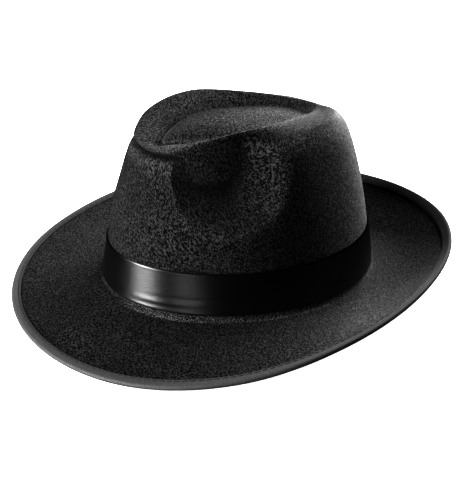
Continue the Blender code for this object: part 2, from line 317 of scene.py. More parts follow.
def feed(tree, target, inputs):  # an input takes a value, an output or a node's first output
    for key, value in inputs.items():
        if isinstance(value, bpy.types.Node):
            value = value.outputs[0]
        if isinstance(value, bpy.types.NodeSocket):
            tree.links.new(value, target.inputs[key])
        else:
            target.inputs[key].default_value = value


def node(tree, kind, place, inputs=None, **settings):
    made = tree.nodes.new(kind)
    made.location = place
    for key, value in settings.items():
        setattr(made, key, value)
    feed(tree, made, inputs or {})
    return made


def times(tree, place, first, second):
    return node(tree, "ShaderNodeMath", place, {0: first, 1: second}, operation="MULTIPLY")


napPattern = {
    "driftScale": 26.0,  # the grain turns from place to place
    "patchScale": 34.0,
    "distortion": 0.7,
    "edges": (0.49, 0.56),  # where a pebble ends and its valley begins
}


def pebbledNapGroup():
    vector, number = "NodeSocketVector", "NodeSocketFloat"
    group = newGroup(
        "pebbledNap",
        [("Place", vector, None), ("Pebbles", number, 520.0), ("Stretch", number, 0.5),
         ("Wander", number, 0.012), ("Fibres", number, 2600.0), ("Fibre share", number, 0.25)],
        [("Height", number), ("Valley", number), ("Patch", number)],
    )
    given = node(group, "NodeGroupInput", (-1500, 0))
    place = given.outputs["Place"]
    drift = node(group, "ShaderNodeTexNoise", (-1300, 200),
                 {"Scale": napPattern["driftScale"], "Detail": 1.0, "Vector": place})
    centred = node(group, "ShaderNodeVectorMath", (-1100, 200),
                   {0: drift.outputs["Color"], 1: (0.5, 0.5, 0.5)}, operation="SUBTRACT")
    scaled = node(group, "ShaderNodeVectorMath", (-920, 200),
                  {0: centred, "Scale": given.outputs["Wander"]}, operation="SCALE")
    moved = node(group, "ShaderNodeVectorMath", (-740, 100),
                 {0: place, 1: scaled}, operation="ADD")
    lengthen = node(group, "ShaderNodeCombineXYZ", (-740, -80),
                    {"X": 1.0, "Y": 1.0, "Z": given.outputs["Stretch"]})
    pulled = node(group, "ShaderNodeVectorMath", (-560, 60), {0: moved, 1: lengthen},
                  operation="MULTIPLY")
    pebble = node(group, "ShaderNodeTexNoise", (-360, 160),
                  {"Vector": pulled, "Scale": given.outputs["Pebbles"], "Detail": 0.8,
                   "Roughness": 0.55, "Distortion": napPattern["distortion"]})
    lowest, highest = napPattern["edges"]
    worm = node(group, "ShaderNodeMapRange", (-160, 160),
                {"Value": pebble, "From Min": lowest, "From Max": highest},
                interpolation_type="SMOOTHSTEP")
    fibre = node(group, "ShaderNodeTexNoise", (-360, -120),
                 {"Detail": 2.0, "Vector": pulled, "Scale": given.outputs["Fibres"]})
    blend = node(group, "ShaderNodeMix", (80, 80),
                 {0: given.outputs["Fibre share"], 2: worm, 3: fibre}, data_type="FLOAT")
    patch = node(group, "ShaderNodeTexNoise", (-360, -400),
                 {"Scale": napPattern["patchScale"], "Detail": 3.0, "Vector": place})
    valley = node(group, "ShaderNodeMath", (300, -80), {0: 1.0, 1: worm}, operation="SUBTRACT")
    node(group, "NodeGroupOutput", (900, 0), {"Height": blend, "Valley": valley, "Patch": patch})
    return group


def ribbedClothGroup():  # threads that run along a ribbon or tape, on its own UV map in metres
    vector, number = "NodeSocketVector", "NodeSocketFloat"
    group = newGroup(
        "ribbedCloth",
        [("Place", vector, None), ("Across", number, 2200.0), ("Along", number, 260.0),
         ("Slant", number, 0.0)],
        [("Height", number), ("Shade", number)],
    )
    given = node(group, "NodeGroupInput", (-1100, 0))
    split = node(group, "ShaderNodeSeparateXYZ", (-900, 0), {0: given.outputs["Place"]})
    slanted = node(group, "ShaderNodeMath", (-700, -120),
                   {0: split.outputs["X"], 1: given.outputs["Slant"], 2: split.outputs["Y"]},
                   operation="MULTIPLY_ADD")
    across = times(group, (-500, -120), slanted, given.outputs["Across"])
    along = times(group, (-500, 80), split.outputs["X"], given.outputs["Along"])
    joined = node(group, "ShaderNodeCombineXYZ", (-300, 0), {"X": along, "Y": across})
    threads = node(group, "ShaderNodeTexNoise", (-100, 100),
                   {"Scale": 1.0, "Detail": 2.0, "Vector": joined}, noise_dimensions="2D")
    slubs = node(group, "ShaderNodeTexNoise", (-100, -160),
                 {"Scale": 0.23, "Detail": 3.0, "Vector": joined}, noise_dimensions="2D")
    node(group, "NodeGroupOutput", (700, 0), {"Height": threads, "Shade": slubs})
    return group


pebbledNap = pebbledNapGroup()
ribbedCloth = ribbedClothGroup()


def newFinish(name):
    finish = bpy.data.materials.new(name)
    finish.use_nodes = True
    return finish, finish.node_tree, finish.node_tree.nodes["Principled BSDF"]


def tint(tree, place, share, first, second):  # a colour between two
    mix = node(tree, "ShaderNodeMix", place, {0: share, 6: first, 7: second}, data_type="RGBA")
    return mix.outputs[2]


def relief(tree, height, depth):
    return node(tree, "ShaderNodeBump", (-450, -200), {"Height": height, "Distance": depth})


def marked(tree, place, name):  # a number that the mesh carries
    return node(tree, "ShaderNodeAttribute", place, attribute_name=name).outputs["Fac"]


feltLook = {
    # darkest felt, in the grain's valleys and as painted shade in hollow creases
    "valleyAndShadeColour": (0.0015, 0.0015, 0.0016, 1),
    "napColour": (0.071, 0.071, 0.072, 1),
    "paintedDentLightColour": (0.27, 0.27, 0.272, 1),  # painted light on the dent's walls, from the crest in to the island
    # worn edges with a painted highlight, on convex ridges
    "wornEdgeAndHighlightColour": (0.20, 0.20, 0.202, 1),
    "roughness": 0.80,
    "gloss": 0.12,
    "sheen": 0.045,
    "sheenRoughness": 0.45,
    "sheenTint": (0.5, 0.5, 0.5, 1),
    "pebbles": 1080.0,  # noise scale in pebbles a metre
    "runCount": 1.30,  # the running nap is finer across
    "stretch": 0.55,
    "evenStretch": 0.9,
    "depth": 0.00120,
}


def feltFinish():
    finish, tree, shader = newFinish("blackFelt")
    place = node(tree, "ShaderNodeTexCoord", (-1500, 0))
    laid = node(tree, "ShaderNodeAttribute", (-1500, -300), attribute_name="napRun")
    share = marked(tree, (-1500, -500), "runShare")
    even = node(tree, "ShaderNodeGroup", (-1250, 0),
                {"Place": place.outputs["Object"], "Pebbles": feltLook["pebbles"],
                 "Stretch": feltLook["evenStretch"]}, node_tree=pebbledNap)
    running = node(tree, "ShaderNodeGroup", (-1250, -300),
                   {"Place": laid.outputs["Vector"], "Stretch": feltLook["stretch"],
                    "Pebbles": feltLook["pebbles"] * feltLook["runCount"]}, node_tree=pebbledNap)
    height, valley = [
        node(tree, "ShaderNodeMix", where,
             {0: share, 2: even.outputs[label], 3: running.outputs[label]}, data_type="FLOAT")
        for label, where in (("Height", (-1000, -200)), ("Valley", (-1000, 100)))
    ]
    # painted light on the dent's walls
    colour = tint(tree, (-900, 300), marked(tree, (-1250, 420), "paintedDentLight"),
                  feltLook["napColour"], feltLook["paintedDentLightColour"])
    colour = tint(tree, (-700, 220), valley, colour, feltLook["valleyAndShadeColour"])
    # convex ridges lighter, in patches: wear and a painted highlight
    patchy = times(tree, (-850, 520), marked(tree, (-1250, 620), "ridge"), even.outputs["Patch"])
    raised = times(tree, (-650, 520), patchy, height)  # valleys stay dark
    colour = tint(tree, (-450, 260), raised, colour, feltLook["wornEdgeAndHighlightColour"])
    colour = tint(tree, (-250, 300), marked(tree, (-650, 720), "creaseShade"),  # painted shade in the hollow creases
                  colour, feltLook["valleyAndShadeColour"])
    feed(tree, shader, {
        "Base Color": colour, "Normal": relief(tree, height, feltLook["depth"]),
        "Roughness": feltLook["roughness"], "Specular IOR Level": feltLook["gloss"],
        "Sheen Weight": feltLook["sheen"], "Sheen Roughness": feltLook["sheenRoughness"],
        "Sheen Tint": feltLook["sheenTint"],
    })
    return finish


satinLook = {
    "colour": (0.0035, 0.0035, 0.0038, 1),
    "threadColour": (0.0075, 0.0075, 0.008, 1),
    "roughness": 0.36,
    "roughnessRange": 0.05,
    "gloss": 1.0,
    "anisotropy": 0.75,
    "turn": 0.25,  # the threads run round the crown
    "depth": 0.00008,
}


def satinFinish():
    finish, tree, shader = newFinish("blackSatin")
    place = node(tree, "ShaderNodeUVMap", (-1200, 0), uv_map="cloth")
    weave = node(tree, "ShaderNodeGroup", (-950, 0), {"Place": place}, node_tree=ribbedCloth)
    shade = weave.outputs["Shade"]
    rough, swing = satinLook["roughness"], satinLook["roughnessRange"]
    feed(tree, shader, {
        "Base Color": tint(tree, (-650, 220), shade, satinLook["colour"],
                           satinLook["threadColour"]),
        "Roughness": node(tree, "ShaderNodeMapRange", (-650, 0),
                          {"Value": shade, "To Min": rough - swing, "To Max": rough + swing}),
        "Normal": relief(tree, weave.outputs["Height"], satinLook["depth"]),
        "Tangent": node(tree, "ShaderNodeTangent", (-450, -420), direction_type="UV_MAP",
                        uv_map="cloth"),
        "Anisotropic": satinLook["anisotropy"], "Anisotropic Rotation": satinLook["turn"],
        "Specular IOR Level": satinLook["gloss"],
    })
    return finish


tapeLook = {
    "colour": (0.040, 0.040, 0.041, 1),
    "ribColour": (0.115, 0.115, 0.117, 1),
    "ribs": {"Across": 900.0, "Along": 700.0, "Slant": 0.6},
    "roughness": 0.70,
    "sheen": 0.05,
    "sheenRoughness": 0.4,
    "depth": 0.00010,
}


def tapeFinish():
    finish, tree, shader = newFinish("blackTape")
    place = node(tree, "ShaderNodeUVMap", (-1200, 0), uv_map="cloth")
    weave = node(tree, "ShaderNodeGroup", (-950, 0), {"Place": place, **tapeLook["ribs"]},
                 node_tree=ribbedCloth)
    height = weave.outputs["Height"]
    feed(tree, shader, {
        "Base Color": tint(tree, (-650, 220), height, tapeLook["colour"], tapeLook["ribColour"]),
        "Normal": relief(tree, height, tapeLook["depth"]), "Roughness": tapeLook["roughness"],
        "Sheen Weight": tapeLook["sheen"], "Sheen Roughness": tapeLook["sheenRoughness"],
    })
    return finish


def fibreFinish(name, dark, light, scale, roughness):  # thread, fuzz or hair, uneven in shade
    finish, tree, shader = newFinish(name)
    place = node(tree, "ShaderNodeTexCoord", (-900, 0))
    uneven = node(tree, "ShaderNodeTexNoise", (-700, 0),
                  {"Scale": scale, "Vector": place.outputs["Object"]})
    feed(tree, shader, {
        "Base Color": tint(tree, (-450, 120), uneven, dark, light), "Roughness": roughness,
    })
    return finish


blackFelt = feltFinish()
blackSatin = satinFinish()
blackTape = tapeFinish()
blackThread = fibreFinish("blackThread", (0.006, 0.006, 0.0065, 1), (0.020, 0.020, 0.021, 1),
                          3000.0, 0.5)
print("hat: finishes made")

# felt
feltMesh = {
    "columns": 400,
    "brimRows": 36,
    "breakRows": 6,
    "wallRows": 60,
    "topSpacing": 0.0016,
    "waver": 0.00035,  # slow unevenness of the pressed felt
    "trueRows": 10,  # rows at the bound edge that stay true
    "bendReach": 3,  # rows and columns over which a bend is measured
    "ridgeBend": 0.0006,  # bend at which an edge gets its full wear and painted highlight
    "creaseShadeBend": 0.00050,  # hollow bend at which the painted shade is full
    "creaseShadeRange": (0.15, 0.85),  # the bend that is let pass, and the most painted shade
    "napClimb": 0.11,  # how far up the wall the nap's run goes on turning
    "napRadius": 0.090,  # the nap's pattern is laid on a drum of this radius
    "napTwist": (0.35, 0.30, 10.0),  # slant of the nap's run: mean, swing, degrees
}


def columnAngles(count, crowding):
    even = np.arange(count) * 2 * math.pi / count
    return even - crowding * np.sin(even)


def feltSkin():  # outer face, from the brim's edge in to the crown's middle
    angles = columnAngles(feltMesh["columns"], block["crowding"])
    rings = [brimRing(angles, share) for share in np.linspace(1, 0, feltMesh["brimRows"])]
    turns = np.linspace(90, 0, feltMesh["breakRows"] + 1)[1:-1]
    rings += [breakRing(angles, degrees) for degrees in turns]
    last = wallTable["height"][-1]
    rings += [wallRing(angles, share) for share in np.linspace(0, last, feltMesh["wallRows"])]
    shoulder = wallRing(angles, 1.0)
    crest = crestRing(angles)
    top = [wallRing(angles, last - 0.03), wallRing(angles, last), shoulder]
    top += [shoulder + (crest - shoulder) * step for step in (0.34, 0.70)]
    top.append(crest)
    top += [dentRing(angles, *row) for row in zip(dentTable["plan"], dentTable["depth"])]
    rings += betweenRings(top, feltMesh["topSpacing"], 1)[1:]
    return np.array(rings)


def slowWaver(points):  # a few slow waves, so that no surface is perfectly even
    x, y, z = points[..., 0], points[..., 1], points[..., 2]
    waves = np.sin(41 * x + 23 * y + 1.3) * np.cos(37 * y - 19 * z + 0.4)
    waves += 0.6 * np.sin(83 * y - 61 * x + 47 * z + 2.1)
    waves += 0.4 * np.sin(131 * z + 97 * x - 71 * y + 0.9)
    return waves / 2


def nearestRow(skin, ring):
    return int(np.argmin(np.linalg.norm(skin - ring[None], axis=-1).mean(axis=1)))


def napRun(skin):  # where the nap lies, how far it runs downwards, how much painted light the dent gets
    angles = columnAngles(feltMesh["columns"], block["crowding"])
    steps = np.linalg.norm(np.diff(skin, axis=0), axis=-1)
    run = np.concatenate([np.zeros((1, len(angles))), np.cumsum(steps, axis=0)])
    foot = nearestRow(skin, wallRing(angles, 0.0))
    crest = nearestRow(skin, crestRing(angles))
    island = nearestRow(skin, dentRing(angles, rimPlan, 0.93))
    mean, swing, ahead = feltMesh["napTwist"]
    slant = mean + swing * np.cos(angles + math.radians(ahead))
    climb = np.clip(run - run[foot], 0, feltMesh["napClimb"]) / feltMesh["napRadius"]
    turned = angles + slant * climb
    radius = feltMesh["napRadius"]
    place = np.stack([radius * np.cos(turned), radius * np.sin(turned), run], axis=-1)
    rows = np.arange(len(skin))[:, None] + 0 * angles
    share = np.interp(rows, (foot - 5, foot + 3, island - 1, island + 1), (0, 1, 1, 0))
    # painted light: full on the dent's walls, a quarter on the island
    paintedDentLight = np.interp(rows, (crest - 2, crest + 4, island - 1, island + 1), (0, 1, 1, 0.25))
    return place, share, paintedDentLight


def onBothFaces(values):  # for the outer face, the inner face and the two middle points
    flat = values.reshape(len(values) * values.shape[1], -1)
    inner = values[::2].reshape(-1, flat.shape[1])
    return np.concatenate([flat, inner, flat[-1:], inner[-1:]])


def makeFelt():
    skin = feltSkin()
    rows, columns = skin.shape[:2]
    normals = outwardNormals(skin)
    strength = np.ones(rows)
    strength[: feltMesh["trueRows"]] = np.linspace(0, 1, feltMesh["trueRows"])
    skin = skin + normals * (slowWaver(skin) * strength[:, None] * feltMesh["waver"])[..., None]
    normals = outwardNormals(skin)
    lining = (skin - normals * block["felt"])[::2]
    run, runShare, paintedDentLight = napRun(skin)
    centre = dentRing(np.array([math.pi / 2]), 0.0, dentTable["centre"])[0]
    below = centre - np.array([0, 0, block["felt"]])
    points = np.concatenate([skin.reshape(-1, 3), lining.reshape(-1, 3), [centre, below]])
    start = rows * columns
    faces = list(gridFaces(rows, columns, flip=True))
    faces += list(gridFaces(len(lining), columns, start))
    column = np.arange(columns)
    after = (column + 1) % columns
    faces += list(np.stack([column, after, start + after, start + column], -1))
    outerLast = (rows - 1) * columns
    innerLast = start + (len(lining) - 1) * columns
    faces += [(outerLast + after[k], outerLast + k, len(points) - 2) for k in column]
    faces += [(innerLast + k, innerLast + after[k], len(points) - 1) for k in column]
    piece = newPiece("pressedFelt", toRest(points), faces, [blackFelt])
    reach = feltMesh["bendReach"]
    padded = np.concatenate([skin[:1].repeat(reach, 0), skin, skin[-1:].repeat(reach, 0)])
    around = (np.roll(skin, reach, axis=1) + np.roll(skin, -reach, axis=1)) / 2
    along = (padded[: -2 * reach] + padded[2 * reach :]) / 2
    bulge = np.sum((skin - (around + along) / 2) * normals, axis=-1)
    # convex ridges: wear and a painted highlight
    addNumbers(piece, "ridge", onBothFaces(np.clip(bulge / feltMesh["ridgeBend"], 0, 1)))
    passed, most = feltMesh["creaseShadeRange"]
    # hollow bends get painted shade, none near the crown's foot
    creaseShadeShare = np.clip(-bulge / feltMesh["creaseShadeBend"] - passed, 0, most)
    creaseShadeShare[: nearestRow(skin, wallRing(columnAngles(columns, block["crowding"]), 0.05))] = 0
    addNumbers(piece, "creaseShade", onBothFaces(creaseShadeShare))
    addNumbers(piece, "runShare", onBothFaces(runShare))
    # painted light on the dent's walls
    addNumbers(piece, "paintedDentLight", onBothFaces(paintedDentLight))
    layer = piece.data.attributes.new("napRun", "FLOAT_VECTOR", "POINT")
    layer.data.foreach_set("vector", onBothFaces(run).astype(np.float32).ravel())
    return piece


pressedFelt = makeFelt()
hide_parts("felt_body")
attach(pressedFelt, "root")
print("hat: felt pressed,", len(pressedFelt.data.polygons), "faces")

# satin ribbon
ribbon = {
    "height": 0.0295,
    "thickness": 0.0010,
    "gap": 0.0003,
    "lap": 0.0180,  # the end lies on the beginning over this length
    "end": 262.0,  # degrees from the front, on the wearer's right
    "columns": 620,
    "rows": 34,
    "selvedge": 0.00009,  # how proud the woven edges stand
    "selvedgeAt": 0.0008,  # from the edge
    "selvedgeWidth": 0.0006,
    "edgeThinning": 0.55,
    "edgeRounding": 0.00018,
    "lapStart": 0.35,  # share of the thickness that is added where the lap begins
    "creases": (  # degrees, half span in degrees, height share, width share, depth in metres
        (34, 26, 0.20, 0.050, 0.00040),
        (44, 30, 0.33, 0.040, -0.00022),
        (30, 20, 0.10, 0.035, -0.00030),
        (70, 18, 0.24, 0.060, 0.00025),
        (118, 24, 0.18, 0.050, 0.00030),
        (-40, 28, 0.24, 0.050, 0.00030),
        (205, 22, 0.28, 0.050, 0.00028),
    ),
}


def ribbonAngles():
    end = math.radians(ribbon["end"])
    lap = ribbon["lap"] / halfLength
    even = np.arange(ribbon["columns"]) * 2 * math.pi / ribbon["columns"]
    fold = end + np.array([-0.004, -0.0012, 0, 0.0015, 0.004, 0.008, lap])
    return np.unique(np.concatenate([even, fold]))


def creaseDepth(angles, share):
    degrees = np.degrees(angles)
    depth = np.zeros(len(angles))
    for middle, span, height, width, amount in ribbon["creases"]:
        away = (degrees - middle + 180) % 360 - 180
        sag = height + 0.03 * np.sin(np.radians(away * 3.1 + middle))
        window = ease(1 - np.abs(away) / span)
        depth += amount * window * np.exp(-(((share - sag) / width) ** 2))
    return depth


def makeRibbon():
    angles = ribbonAngles()
    end = math.radians(ribbon["end"])
    lap = ribbon["lap"] / halfLength
    doubled = np.where(angles >= end - 1e-6, np.clip(1 - (angles - end) / lap, 0, 1), 0)
    begins = ribbon["lapStart"]
    doubled = np.where(doubled > 0, begins + (1 - begins) * doubled, 0)
    shares = np.linspace(0, 1, ribbon["rows"])
    heights = ribbon["height"] * shares
    rise = shoulderHeight(angles)
    rows = np.array([wallRing(angles, height / rise) for height in heights])
    normals = outwardNormals(rows)
    inside = rows + normals * ribbon["gap"]
    out = np.zeros(rows.shape[:2])
    for row, share in enumerate(shares):
        toEdge = min(share, 1 - share) * ribbon["height"]
        rounding = 1 - ribbon["edgeThinning"] * math.exp(-toEdge / ribbon["edgeRounding"])
        fromWeave = (toEdge - ribbon["selvedgeAt"]) / ribbon["selvedgeWidth"]
        proud = ribbon["selvedge"] * math.exp(-(fromWeave**2))
        out[row] = ribbon["gap"] + ribbon["thickness"] * rounding * (1 + doubled)
        out[row] += proud + creaseDepth(angles, share)
    outside = rows + normals * out[..., None]
    loops = np.concatenate([inside[:: ribbon["rows"] - 1], outside[::-1]])
    arc = np.concatenate([[0], np.cumsum(np.linalg.norm(np.diff(rows[0], axis=0), axis=-1))])
    up = np.concatenate([[0, ribbon["height"]], heights[::-1]])
    return clothTube("satinRibbon", loops, blackSatin, False, arc, up), float(arc[-1])


def clothTube(name, loops, finish, flip, along, across):  # loops round the hat, closed to a tube
    count, columns = loops.shape[:2]
    column = np.arange(columns)
    after = (column + 1) % columns
    last = (count - 1) * columns
    closing = np.stack([last + column, last + after, after, column], -1)
    faces = list(gridFaces(count, columns, flip=flip))
    faces += list(closing[:, ::-1] if flip else closing)
    piece = newPiece(name, toRest(loops.reshape(-1, 3)), faces, [finish])
    layClothMap(piece, along, across, columns)
    return piece


def layClothMap(piece, along, across, columns):  # a UV map in metres, along and across a tape
    whole = along[-1] + (along[1] - along[0])
    layer = piece.data.uv_layers.new(name="cloth")
    corners = np.zeros(len(piece.data.loops), int)
    piece.data.loops.foreach_get("vertex_index", corners)
    starts = np.zeros(len(piece.data.polygons), int)
    piece.data.polygons.foreach_get("loop_start", starts)
    u = along[corners % columns]
    v = across[corners // columns]
    faceOf = np.repeat(np.arange(len(starts)), np.diff(np.append(starts, len(corners))))
    furthest = np.zeros(len(starts))
    np.maximum.at(furthest, faceOf, u)
    u = np.where(furthest[faceOf] - u > whole / 2, u + whole, u)
    layer.data.foreach_set("uv", np.stack([u, v], -1).astype(np.float32).ravel())


satinRibbon, ribbonLength = makeRibbon()
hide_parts("hat_band")
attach(satinRibbon, "root")
print("hat: ribbon laid, %.0f mm round" % (ribbonLength * 1000))

# bound edge
binding = {
    "width": 0.0054,
    "thickness": 0.0007,
    "gap": 0.0002,
    "stitchPitch": 0.0052,
    "columnsPerStitch": 8,
    "stitchInset": 0.0016,  # from the tape's inner edge
    "pull": 0.00022,  # how far the thread pulls the tape in
    "groove": 0.0007,  # half width of the stitched groove
    "edgeThinning": 0.45,
    "edgeRounding": 0.0003,
    "steadyPull": 0.6,  # share of the pull that is there at a stitch's middle too
    "topSteps": 9,
    "noseSteps": 9,
}
stitch = {
    "length": 0.0034,
    "radius": 0.00027,
    "arch": 0.00022,
    "unevenness": 0.06,
    "raised": 0.3,  # radii above the tape
    "step": 0.0005,  # over which the tape's slope is read
}


def evenAngles(count):  # angles that stand evenly along the stitch line
    fine = np.linspace(0, 2 * math.pi, 4001)
    line = brimRing(fine, 1 - (binding["width"] - binding["stitchInset"]) / block["brimWidth"])
    run = np.concatenate([[0], np.cumsum(np.linalg.norm(np.diff(line, axis=0), axis=-1))])
    return np.interp(np.arange(count) / count * run[-1], run, fine), float(run[-1])


stitchCount = round(evenAngles(8)[1] / binding["stitchPitch"])


def makeBinding():
    columns = stitchCount * binding["columnsPerStitch"]
    angles, length = evenAngles(columns)
    inner = 1 - binding["width"] / block["brimWidth"]
    shares = np.linspace(inner, 1, binding["topSteps"])
    skin = np.array([brimRing(angles, share) for share in np.append(shares, 2 - shares[-2])])
    normals = outwardNormals(skin[::-1])[::-1][:-1]
    skin = skin[:-1]
    felt, gap, thickness = block["felt"], binding["gap"], binding["thickness"]
    phase = np.arange(columns) / binding["columnsPerStitch"] * 2 * math.pi
    steady = binding["steadyPull"]  # deepest between stitches, where the thread dives
    pulled = steady + (1 - steady) * (0.5 - 0.5 * np.cos(phase))
    across = (shares - inner) * block["brimWidth"]
    up = normals[-1]
    outward = skin[-1] - skin[0]
    outward -= up * np.sum(outward * up, axis=-1, keepdims=True)
    outward /= np.linalg.norm(outward, axis=-1, keepdims=True)
    middle = skin[-1] - up * felt / 2

    def flap(side, depth):
        made = []
        for row, along in enumerate(across):
            groove = math.exp(-(((along - binding["stitchInset"]) / binding["groove"]) ** 2))
            edge = binding["edgeThinning"] * math.exp(-along / binding["edgeRounding"])
            out = gap + thickness * (1 - edge) - binding["pull"] * groove * pulled
            out = out if depth else np.full(columns, gap)
            if side > 0:
                made.append(skin[row] + normals[row] * out[:, None])
            else:
                made.append(skin[row] - normals[row] * (felt + out)[:, None])
        return made

    def nose(radius, steps):
        turns = np.radians(np.linspace(90, -90, steps))[1:-1]
        return [middle + (outward * math.cos(t) + up * math.sin(t)) * radius for t in turns]

    over = flap(1, True)
    under = flap(-1, True)
    insideOver = flap(1, False)[:: binding["topSteps"] - 1]
    insideUnder = flap(-1, False)[:: binding["topSteps"] - 1]
    loops = over + nose(felt / 2 + gap + thickness, binding["noseSteps"]) + under[::-1]
    loops += insideUnder + nose(felt / 2 + gap, 5)[::-1] + insideOver[::-1]
    loops = np.array(loops)
    outline = loops[:, 0]
    run = np.concatenate([[0], np.cumsum(np.linalg.norm(np.diff(outline, axis=0), axis=-1))])
    arc = np.arange(columns) * length / columns
    return clothTube("edgeTape", loops, blackTape, True, arc, run), length


edgeTape, tapeLength = makeBinding()
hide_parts("edge_binding")
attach(edgeTape, "root")
print("hat: edge bound, %.0f mm round, %d stitches" % (tapeLength * 1000, stitchCount))


# stitches
def newGrower(name, sizes, finish):  # a tree with an input for each size and for its material
    tree = bpy.data.node_groups.new(name, "GeometryNodeTree")
    face = tree.interface
    face.new_socket("Geometry", in_out="INPUT", socket_type="NodeSocketGeometry")
    for label, value in sizes.items():
        kind = "NodeSocketInt" if isinstance(value, int) else "NodeSocketFloat"
        face.new_socket(label, in_out="INPUT", socket_type=kind).default_value = value
    face.new_socket(finish, in_out="INPUT", socket_type="NodeSocketMaterial")
    face.new_socket("Geometry", in_out="OUTPUT", socket_type="NodeSocketGeometry")
    return tree, node(tree, "NodeGroupInput", (-1400, 0))


def endGrower(tree, placed, finish):  # plain faces with their material
    real = node(tree, "GeometryNodeRealizeInstances", (600, 100), {0: placed})
    coloured = node(tree, "GeometryNodeSetMaterial", (850, 100),
                    {"Geometry": real, "Material": finish})
    node(tree, "NodeGroupOutput", (1100, 0), {0: coloured})
    return tree


def stitchRowTree():
    tree, given = newGrower("stitchRow", {
        "Stitches": 100, "Length": 0.003, "Thread radius": 0.00025, "Arch": 0.0002,
        "Unevenness": 0.05, "Seed": 3,
    }, "Thread")
    path = node(tree, "GeometryNodeMeshToCurve", (-1150, 200),
                {"Mesh": given.outputs["Geometry"]})
    spaced = node(tree, "GeometryNodeResampleCurve", (-950, 200),
                  {"Curve": path, "Count": given.outputs["Stitches"]}, mode="COUNT")
    start, finish = [
        node(tree, "ShaderNodeVectorMath", where,
             {0: (end, 0, 0), "Scale": given.outputs["Length"]}, operation="SCALE")
        for where, end in (((-800, -250), -0.5), ((-800, -120), 0.5))
    ]
    thread = node(tree, "GeometryNodeCurvePrimitiveLine", (-600, -200),
                  {"Start": start, "End": finish})
    beads = node(tree, "GeometryNodeResampleCurve", (-420, -200),
                 {"Count": 7, "Curve": thread}, mode="COUNT")
    along = node(tree, "GeometryNodeSplineParameter", (-800, -480))
    swing = times(tree, (-600, -480), along.outputs["Factor"], math.pi)
    bow = node(tree, "ShaderNodeMath", (-430, -480), {0: swing}, operation="SINE")
    lift = times(tree, (-260, -480), bow, given.outputs["Arch"])
    raised = node(tree, "ShaderNodeCombineXYZ", (-90, -480), {"Z": lift})
    arched = node(tree, "GeometryNodeSetPosition", (-200, -200),
                  {"Geometry": beads, "Offset": raised})
    profile = node(tree, "GeometryNodeCurvePrimitiveCircle", (-200, -340),
                   {"Resolution": 6, "Radius": given.outputs["Thread radius"]}, mode="RADIUS")
    solid = node(tree, "GeometryNodeCurveToMesh", (20, -200),
                 {"Curve": arched, "Profile Curve": profile, "Fill Caps": True})
    lie = node(tree, "GeometryNodeInputNamedAttribute", (-950, 480),
               {"Name": "upward"}, data_type="FLOAT_VECTOR")
    run = node(tree, "GeometryNodeInputTangent", (-950, 620))
    turn = node(tree, "FunctionNodeAxesToRotation", (-700, 500),
                {"Primary Axis": lie.outputs["Attribute"], "Secondary Axis": run},
                primary_axis="Z", secondary_axis="X")
    away = times(tree, (-500, 300), given.outputs["Unevenness"], -1.0)
    sway = node(tree, "FunctionNodeRandomValue", (-300, 300),
                {2: away, 3: given.outputs["Unevenness"], "Seed": given.outputs["Seed"]},
                data_type="FLOAT")
    spin = node(tree, "ShaderNodeCombineXYZ", (-100, 300), {"Z": sway.outputs[1]})
    toTurn = node(tree, "FunctionNodeEulerToRotation", (0, 300), {0: spin})
    swayed = node(tree, "FunctionNodeRotateRotation", (100, 450),
                  {"Rotation": turn, "Rotate By": toTurn}, rotation_space="LOCAL")
    placed = node(tree, "GeometryNodeInstanceOnPoints", (350, 100),
                  {"Points": spaced, "Instance": solid, "Rotation": swayed})
    return endGrower(tree, placed, given.outputs["Thread"])


def grow(name, base, tree, values):  # runs a tree on a base mesh and keeps a plain mesh
    modifier = base.modifiers.new(tree.name, "NODES")
    modifier.node_group = tree
    sockets = {item.name: item.identifier for item in tree.interface.items_tree
               if item.item_type == "SOCKET" and item.in_out == "INPUT"}
    for label, value in values.items():
        modifier[sockets[label]] = value
    bpy.context.view_layer.update()
    seen = base.evaluated_get(bpy.context.evaluated_depsgraph_get())
    mesh = bpy.data.meshes.new_from_object(seen)
    base.modifiers.remove(modifier)
    bpy.data.objects.remove(base, do_unlink=True)
    mesh.name = name
    mesh.shade_smooth()
    piece = bpy.data.objects.new(name, mesh)
    bpy.context.scene.collection.objects.link(piece)
    return piece


def pathMesh(name, points, upward):  # a closed line of edges that knows which way is up
    count = len(points)
    mesh = bpy.data.meshes.new(name)
    edges = [(k, (k + 1) % count) for k in range(count)]
    mesh.from_pydata([tuple(point) for point in points], edges, [])
    layer = mesh.attributes.new("upward", "FLOAT_VECTOR", "POINT")
    layer.data.foreach_set("vector", np.asarray(upward, np.float32).ravel())
    path = bpy.data.objects.new(name, mesh)
    bpy.context.scene.collection.objects.link(path)
    return path


def stitchRow(name, side, seed):
    angles = evenAngles(stitchCount * 6)[0]
    inner = 1 - binding["width"] / block["brimWidth"]
    at = inner + binding["stitchInset"] / block["brimWidth"]
    step = stitch["step"] / block["brimWidth"]
    rings = np.array([brimRing(angles, share) for share in (at + step, at, at - step)])
    normals = outwardNormals(rings)[1]
    out = binding["gap"] + binding["thickness"] - binding["pull"]
    out += stitch["radius"] * stitch["raised"]
    away = out if side > 0 else -(block["felt"] + out)
    matrix = np.array(restMatrix)
    upward = (normals * side) @ matrix[:3, :3].T
    path = pathMesh(name + "Path", toRest(rings[1] + normals * away), upward)
    row = grow(name, path, stitchTree, {
        "Stitches": stitchCount, "Length": stitch["length"], "Thread radius": stitch["radius"],
        "Arch": stitch["arch"], "Unevenness": stitch["unevenness"], "Seed": seed,
        "Thread": blackThread,
    })
    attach(row, "root")
    return row


stitchTree = stitchRowTree()
upperStitches = stitchRow("upperStitches", 1, 5)
lowerStitches = stitchRow("lowerStitches", -1, 9)
print("hat: stitches sewn,", len(upperStitches.data.polygons), "faces above")

